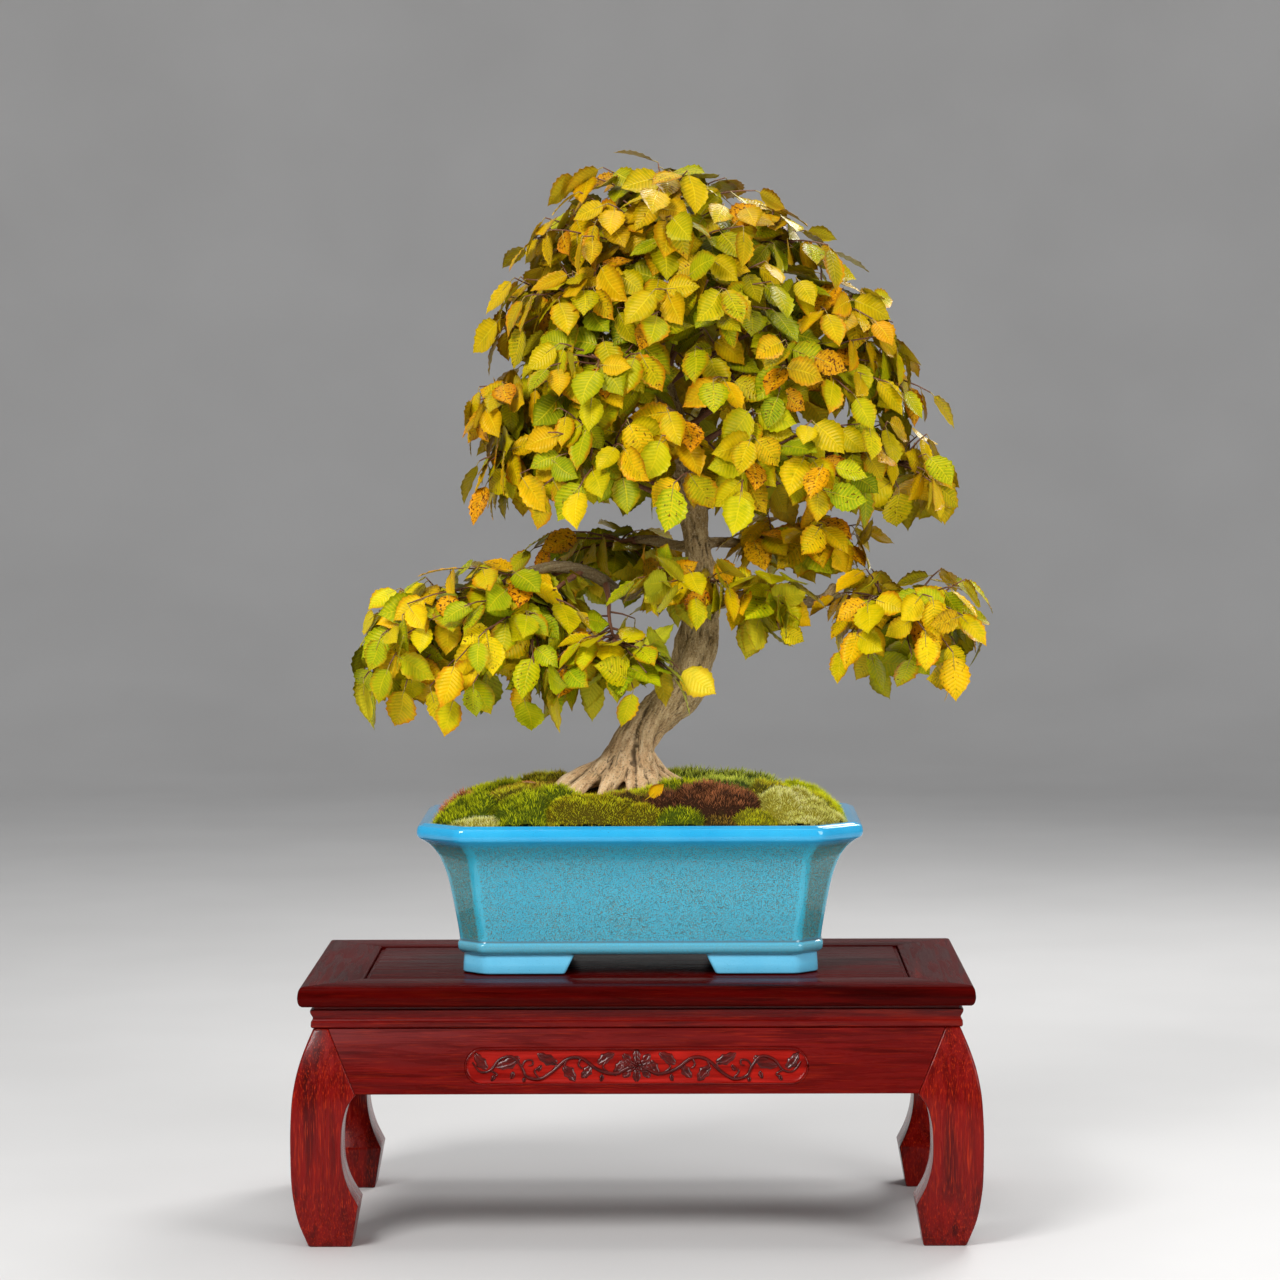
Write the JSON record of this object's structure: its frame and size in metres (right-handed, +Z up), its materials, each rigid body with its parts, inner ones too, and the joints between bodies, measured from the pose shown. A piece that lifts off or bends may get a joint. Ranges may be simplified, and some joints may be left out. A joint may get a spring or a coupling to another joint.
{
  "type": "korean hornbeam bonsai",
  "caption": "Korean hornbeam bonsai in yellow autumn leaf, in a blue glazed pot with moss, on a low lacquered wooden stand with bowed legs.",
  "frame": {"origin": "middle of the whole object's footprint, on the floor under the stand", "axes": "+Z up, +X to the right seen from the front, -Y towards the front with the carved apron"},
  "size_m": [0.5548, 0.296, 0.8557],
  "materials": {
    "stand_wood": "glossy red-brown lacquer over streaked grain",
    "stand_panel": "high gloss dark red lacquer",
    "glaze": "glossy light blue glaze, speckled on the walls",
    "screen": "matt",
    "soil": "coarse and matt",
    "moss_green": "soft and matt",
    "moss_brown": "soft and matt",
    "bark": "rough bark, paler at the roots",
    "leaf": "satin leaf, pleated between its veins"
  },
  "bodies": {
    "root": {"stand_top_rail_front": "stand_wood", "stand_top_rail_right": "stand_wood", "stand_top_rail_back": "stand_wood", "stand_top_rail_left": "stand_wood", "stand_top_panel": "stand_panel", "stand_waist_front": "stand_wood", "stand_waist_right": "stand_wood", "stand_waist_back": "stand_wood", "stand_waist_left": "stand_wood", "stand_leg_front_left": "stand_wood", "stand_leg_front_right": "stand_wood", "stand_leg_back_left": "stand_wood", "stand_leg_back_right": "stand_wood", "stand_apron_front": "stand_wood", "stand_apron_right": "stand_wood", "stand_apron_back": "stand_wood", "stand_apron_left": "stand_wood", "pot": "glaze", "drain_screen_left": "screen", "drain_screen_right": "screen", "soil": "soil", "moss_green_left": "moss_green", "moss_olive_front": "moss_green", "moss_brown_right": "moss_brown", "moss_pale_right": "moss_green", "moss_green_back_right": "moss_green", "moss_green_back_left": "moss_green", "fallen_leaf": "leaf", "trunk": "bark", "leaves_crown_a_right": "leaf", "leaves_crown_a_back_right": "leaf", "leaves_crown_a_back": "leaf", "leaves_crown_a_back_left": "leaf", "leaves_crown_a_left": "leaf", "leaves_crown_a_front_left": "leaf", "leaves_crown_a_front_right": "leaf", "leaves_crown_b_right": "leaf", "leaves_crown_b_back": "leaf", "leaves_crown_b_back_left": "leaf", "leaves_crown_b_left": "leaf", "leaves_crown_b_front": "leaf", "leaves_crown_b_front_right": "leaf", "leaves_crown_c_right": "leaf", "leaves_crown_c_back": "leaf", "leaves_crown_c_left": "leaf", "leaves_crown_c_front_left": "leaf", "leaves_crown_c_front": "leaf", "leaves_crown_d_right": "leaf", "leaves_crown_d_left": "leaf", "leaves_crown_d_front": "leaf", "leaves_crown_top": "leaf", "leaves_low_left_outer": "leaf", "leaves_low_left_back": "leaf", "leaves_low_left_front": "leaf", "leaves_low_left_inner": "leaf", "leaves_low_right_outer": "leaf", "leaves_low_right_front": "leaf", "leaves_middle_front": "leaf", "leaves_middle_right": "leaf", "leaves_middle_left": "leaf"}
  },
  "joints": []
}
